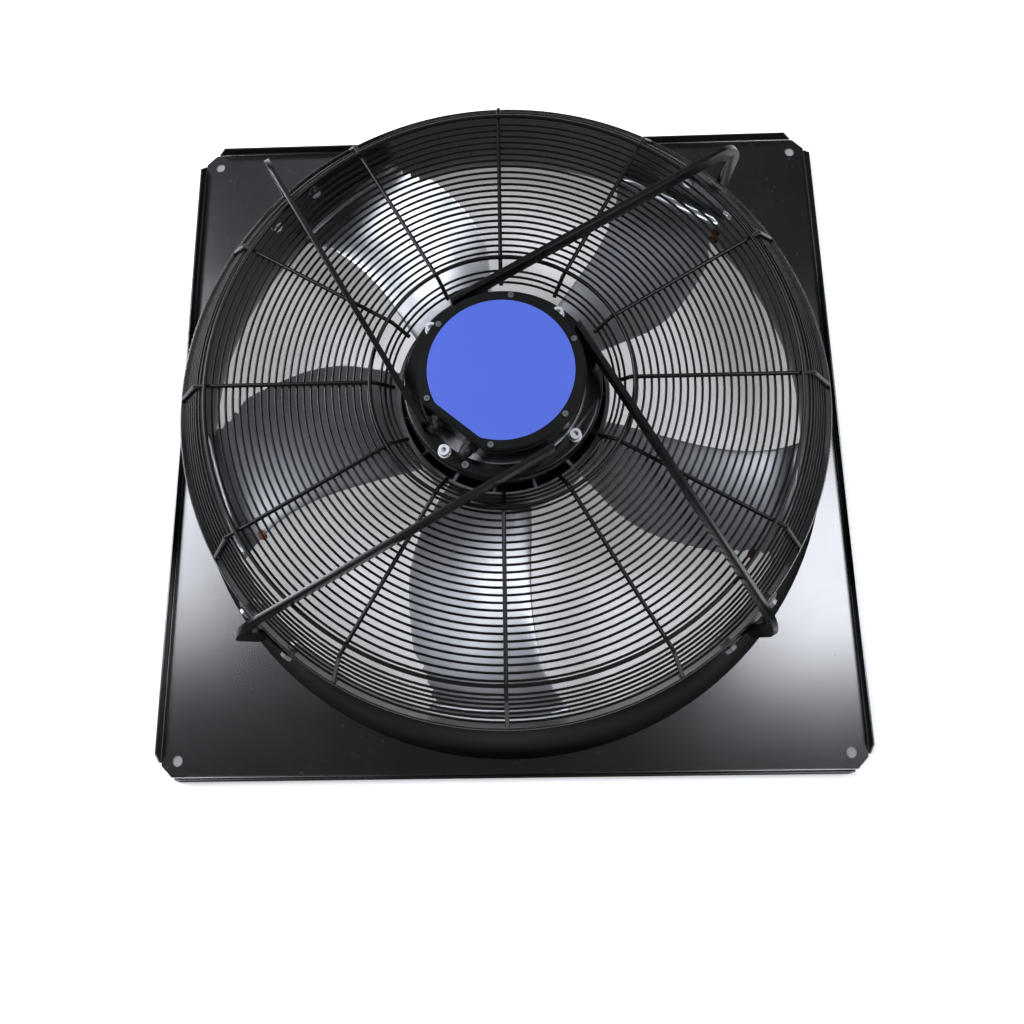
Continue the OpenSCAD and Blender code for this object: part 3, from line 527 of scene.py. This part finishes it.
def wire_ring(shape, radius, height, thickness, steps=256, sides=10):
    """Adds a closed ring of round wire to a bmesh."""
    around = bmesh.ops.create_circle(
        shape, segments=sides, radius=thickness / 2,
        matrix=Matrix.Translation((radius, 0, height)) @ Matrix.Rotation(math.pi / 2, 4, "X"),
    )["verts"]
    edges = list({edge for vert in around for edge in vert.link_edges})
    bmesh.ops.spin(
        shape, geom=around + edges, cent=(0, 0, 0), axis=(0, 0, 1), angle=2 * math.pi,
        steps=steps, use_merge=True,
    )


def dress(finishes):
    """Gives each material to its nodes."""
    for material, nodes in finishes.items():
        for node in nodes:
            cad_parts[node].material_slots[0].material = material


def open_shape(node):
    """A copy of a node's mesh, with its triangles joined at their corners."""
    shape = bmesh.new()
    shape.from_mesh(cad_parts[node].data)
    bmesh.ops.remove_doubles(shape, verts=shape.verts, dist=SAME_POINT)
    return shape


class FAN_OT_finish_steel(bpy.types.Operator):
    """Gives every painted steel piece its powder coat"""

    bl_idname = "fan.finish_steel"
    bl_label = "Powder-coat the steel"

    def execute(self, context):
        coat = context.scene.fan_coat
        sheet = powder_coat("powder_coated_sheet", coat, scuffs=0.4)
        # The nozzle, the wires and the bars take darker copies of the sheet's coat: painted shade
        drawn = powder_coat(
            "powder_coated_nozzle", coat, roughness_change=0.1, shade=0.6, shine=0.22
        )
        wire = powder_coat("powder_coated_wire", coat, roughness_change=0.12, shade=0.5, shine=0.18)
        bar = powder_coat("powder_coated_bar", coat, roughness_change=0.1, shade=0.5, shine=0.22)
        dress({
            sheet: ("wall_plate",),
            drawn: ("nozzle_ring",),
            wire: ("guard_rings", "guard_spokes", "guard_hoops"),
            bar: (*SOFTENED, "housing_lid", "electronics_housing", "rotor_bell"),
        })
        return {"FINISHED"}


class FAN_OT_finish_metals(bpy.types.Operator):
    """Gives the bare metal pieces their cast, turned and plated surfaces"""

    bl_idname = "fan.finish_metals"
    bl_label = "Finish the bare metals"

    def execute(self, context):
        blade = context.scene.fan_blade
        # The hub under the motor is aluminium darkened to 0.3: painted shade
        hub = cast_aluminium("cast_aluminium_hub", blade, roughness_change=0.1, painted_shade=0.3)
        flange = cast_aluminium("machined_aluminium_flange", blade, roughness_change=0.08)
        dress({
            hub: ("hub",),
            flange: ("stator_flange",),
            turned_metal("bright_zinc_plate", "#E6E8EA", 0.5): (
                "foot_bolts", "foot_nuts", "motor_bolts", "hub_screws"),
            turned_metal("grey_zinc_plate", "#85898D", 0.42): ("earth_screw", "lid_screws"),
            turned_metal("ground_bearing_steel", "#C4C7CA", 0.18, 0.4): (
                "lower_bearing", "upper_bearing", "bearing_inner_rings"),
            turned_metal("turned_shaft_steel", "#9DA1A5", 0.3): ("shaft",),
            turned_metal("blued_spring_steel", "#4B4F56", 0.35): ("shaft_circlip", "wave_washer"),
            turned_metal("coppered_spring_steel", "#8C5236", 0.42): ("balance_clips",),
            turned_metal("sintered_magnet", "#64686D", 0.5, 1.2): ("rotor_magnets",),
            enamelled_copper("enamelled_copper_wire"): ("stator_windings",),
            laminated_steel("laminated_electrical_steel"): ("stator_core",),
        })
        return {"FINISHED"}


class FAN_OT_finish_plastics(bpy.types.Operator):
    """Gives the label, the seals and the electronics their plastics"""

    bl_idname = "fan.finish_plastics"
    bl_label = "Finish the plastics"

    def execute(self, context):
        dress({
            printed_film("printed_polyester_film", context.scene.fan_label): ("lid_label",),
            moulded_plastic("glass_filled_nylon", "#1B1C1E", 0.5): ("cable_glands",),
            moulded_plastic("nitrile_rubber", "#121213", 0.7): ("lid_gasket", "gland_plugs"),
            moulded_plastic("shrink_sleeve", "#2C323B", 0.4): ("board_capacitors",),
            solder_mask("green_solder_mask"): ("circuit_board",),
        })
        return {"FINISHED"}


class FAN_OT_smooth_blades(bpy.types.Operator):
    """Lays a smooth cast skin over each of the five blades"""

    bl_idname = "fan.smooth_blades"
    bl_label = "Smooth the blades"

    def execute(self, context):
        blade = context.scene.fan_blade
        material = cast_aluminium("cast_aluminium_blade", blade)
        for number in range(1, BLADES + 1):
            node = f"blade_{number}"
            shape = open_shape(node)
            crease = shape.edges.layers.float.new("crease_edge")
            ends = {face for face in shape.faces if self.is_end(face)}
            sides = [face for face in shape.faces if face not in ends]
            for edge in shape.edges:
                if len(ends.intersection(edge.link_faces)) == 1:
                    edge[crease] = END_CREASE
            bmesh.ops.join_triangles(
                shape, faces=sides, angle_face_threshold=math.radians(50),
                angle_shape_threshold=math.radians(100),
            )
            piece = new_piece(
                f"blade_skin_{number}", shape, material, "impeller"
            )
            smooth = piece.modifiers.new("cast_surface", "SUBSURF")
            smooth.levels = smooth.render_levels = blade.levels
            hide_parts(node)
        return {"FINISHED"}

    def is_end(self, face):
        """Tells the root and tip faces, which look along the radius, from the blade's sides."""
        centre = face.calc_center_median()
        outward = Vector((centre.x, centre.y, 0)).normalized()
        return abs(face.normal.dot(outward)) > END_FACING


class FAN_OT_guard_welds(bpy.types.Operator):
    """Puts a weld nugget at each crossing of the guard's flat rings and its spokes"""

    bl_idname = "fan.guard_welds"
    bl_label = "Weld the guard"

    def execute(self, context):
        weld = context.scene.fan_weld
        coat = context.scene.fan_coat
        material = powder_coat("powder_coated_weld", coat, roughness_change=0.12)
        shape = bmesh.new()
        for spoke in range(weld.spokes):
            angle = spoke * 2 * math.pi / weld.spokes
            for ring in range(weld.rings):
                place = polar(weld.first_ring + ring * weld.ring_pitch, angle, weld.weld_height)
                bmesh.ops.create_icosphere(
                    shape, subdivisions=1, radius=weld.nugget,
                    matrix=Matrix.Translation(place) @ Matrix.Rotation(angle, 4, "Z")
                    @ Matrix.Diagonal((*NUGGET_SHAPE, 1)),
                )
        new_piece("guard_weld_nuggets", shape, material, "frame")
        return {"FINISHED"}


class FAN_OT_soften_edges(bpy.types.Operator):
    """Rounds the edges of the arms and the motor ring, where the light draws thin lines"""

    bl_idname = "fan.soften_edges"
    bl_label = "Soften the edges"

    def execute(self, context):
        coat = context.scene.fan_coat
        # The rounded arms and motor ring take a darker copy of the coat: painted shade
        material = powder_coat(
            "powder_coated_edge", coat, roughness_change=0.06, shade=0.5, shine=0.25
        )
        for node in SOFTENED:
            shape = open_shape(node)
            bmesh.ops.dissolve_limit(
                shape, angle_limit=math.radians(0.5), verts=shape.verts, edges=shape.edges
            )
            piece = new_piece(f"{node}_softened", shape, material, "frame")
            bevel = piece.modifiers.new("round_edge", "BEVEL")
            bevel.width = coat.edge
            bevel.segments = SOFT_SEGMENTS
            bevel.angle_limit = math.radians(40)
            bevel.harden_normals = True
            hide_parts(node)
        return {"FINISHED"}


class FAN_OT_rim_edge(bpy.types.Operator):
    """Rounds the cut edge of the nozzle's rim, where the light catches it"""

    bl_idname = "fan.rim_edge"
    bl_label = "Round the rim edge"

    def execute(self, context):
        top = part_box("nozzle_ring")[1].z
        material = bpy.data.materials["powder_coated_sheet"]
        shape = bmesh.new()
        wire_ring(shape, RIM_RADIUS, top, RIM_THICKNESS)
        new_piece("nozzle_rim_edge", shape, material, "frame")
        return {"FINISHED"}


class FAN_OT_stage(bpy.types.Operator):
    """Sets the floor, the room, three softboxes and the camera"""

    bl_idname = "fan.stage"
    bl_label = "Set the studio"

    def execute(self, context):
        stage = context.scene.fan_stage
        shape = bmesh.new()
        bmesh.ops.create_grid(
            shape, x_segments=4, y_segments=4, size=FLOOR_HALF_WIDTH,
            matrix=Matrix.Translation((0, 0, CAD_BOX[0][2] - FLOOR_GAP)),
        )
        mesh = bpy.data.meshes.new("studio_floor")
        shape.to_mesh(mesh)
        shape.free()
        mesh.materials.append(paper_floor(stage))
        floor = bpy.data.objects.new("studio_floor", mesh)
        context.scene.collection.objects.link(floor)
        self.set_room(context, stage)
        for side, (place, width, height) in SOFTBOXES.items():
            power = getattr(stage, f"{side}_power")
            self.set_softbox(context, side, power, place, width, height)
        self.set_camera(context, stage)
        context.scene.view_settings.view_transform = "Standard"
        return {"FINISHED"}

    def set_room(self, context, stage):
        """Pale walls round the horizon that darken to the ceiling."""
        world = bpy.data.worlds.new("studio_room")
        world.use_nodes = True
        tree = world.node_tree
        tree.nodes.clear()
        look = add(tree, "ShaderNodeTexCoord").outputs["Generated"]
        height = add(tree, "ShaderNodeSeparateXYZ", {0: look}).outputs["Z"]
        rise = spread(tree, height, 0.1, 0.36, interpolation_type="SMOOTHSTEP")
        tint = mix(tree, rise, stage.wall, stage.ceiling)
        toward = polar(math.cos(stage.panel_height), stage.panel_turn, math.sin(stage.panel_height))
        near = add(tree, "ShaderNodeVectorMath", {0: look, 1: toward}, operation="DOT_PRODUCT")
        inner, outer = stage.panel_spread * 0.75, stage.panel_spread * 1.25
        panel = spread(
            tree, near.outputs["Value"], math.cos(outer), math.cos(inner),
            interpolation_type="SMOOTHSTEP",
        )
        tint = mix(tree, panel, tint, stage.panel)
        glow = add(tree, "ShaderNodeBackground", {"Color": tint, "Strength": 1.0})
        add(tree, "ShaderNodeOutputWorld", {"Surface": glow.outputs[0]})
        context.scene.world = world

    def set_softbox(self, context, side, power, place, width, height):
        """A softbox that faces the fan, with its width level."""
        lamp = bpy.data.lights.new(f"softbox_{side}", "AREA")
        lamp.shape = "RECTANGLE"
        lamp.size = width
        lamp.size_y = height
        lamp.color = context.scene.fan_stage.lamp_tint
        lamp.energy = power
        holder = bpy.data.objects.new(lamp.name, lamp)
        holder.location = place
        away = place.normalized()
        holder.rotation_euler = away.to_track_quat("Z", "Y").to_euler()
        context.scene.collection.objects.link(holder)

    def set_camera(self, context, stage):
        """The camera that the four corner holes give."""
        away = Vector(
            (math.sin(stage.azimuth) * math.cos(stage.elevation),
             -math.cos(stage.azimuth) * math.cos(stage.elevation), math.sin(stage.elevation))
        )
        side = Vector((math.cos(stage.azimuth), math.sin(stage.azimuth), 0))
        top = away.cross(side)
        right = side * math.cos(stage.roll) - top * math.sin(stage.roll)
        above = side * math.sin(stage.roll) + top * math.cos(stage.roll)
        turn = Matrix((right, above, away)).transposed().to_4x4()
        lens = bpy.data.cameras.new("photo_camera")
        lens.sensor_width = SENSOR_WIDTH
        lens.lens = stage.lens
        lens.clip_start = 0.01
        camera = bpy.data.objects.new("photo_camera", lens)
        place = Vector(stage.target) + away * stage.distance
        camera.matrix_world = Matrix.Translation(place) @ turn
        context.scene.collection.objects.link(camera)
        context.scene.camera = camera


class FAN_PT_sidebar(bpy.types.Panel):
    """Lists the fan's operators and settings"""

    bl_idname = "FAN_PT_sidebar"
    bl_label = "Axial fan"
    bl_space_type = "VIEW_3D"
    bl_region_type = "UI"
    bl_category = "Fan"

    def draw(self, context):
        for operator in OPERATORS:
            self.layout.operator(operator.bl_idname)
        for group in SETTINGS:
            settings = getattr(context.scene, group)
            for key in settings.bl_rna.properties.keys():
                if key not in ("rna_type", "name"):
                    self.layout.prop(settings, key)


SETTINGS = {
    "fan_coat": FanCoatSettings,
    "fan_blade": FanBladeSettings,
    "fan_label": FanLabelSettings,
    "fan_weld": FanWeldSettings,
    "fan_stage": FanStageSettings,
}
OPERATORS = (
    FAN_OT_stage,
    FAN_OT_finish_steel,
    FAN_OT_finish_metals,
    FAN_OT_finish_plastics,
    FAN_OT_smooth_blades,
    FAN_OT_guard_welds,
    FAN_OT_soften_edges,
    FAN_OT_rim_edge,
)


def register():
    """Registers the settings, the operators and the panel."""
    for group, kind in SETTINGS.items():
        bpy.utils.register_class(kind)
        setattr(bpy.types.Scene, group, PointerProperty(type=kind))
    for operator in OPERATORS:
        bpy.utils.register_class(operator)
    bpy.utils.register_class(FAN_PT_sidebar)


def unregister():
    """Takes the panel, the operators and the settings away again."""
    bpy.utils.unregister_class(FAN_PT_sidebar)
    for operator in reversed(OPERATORS):
        bpy.utils.unregister_class(operator)
    for group, kind in SETTINGS.items():
        delattr(bpy.types.Scene, group)
        bpy.utils.unregister_class(kind)


def main():
    register()
    for operator in OPERATORS:
        group, name = operator.bl_idname.split(".")
        getattr(getattr(bpy.ops, group), name)()


if __name__ == "__main__":
    main()
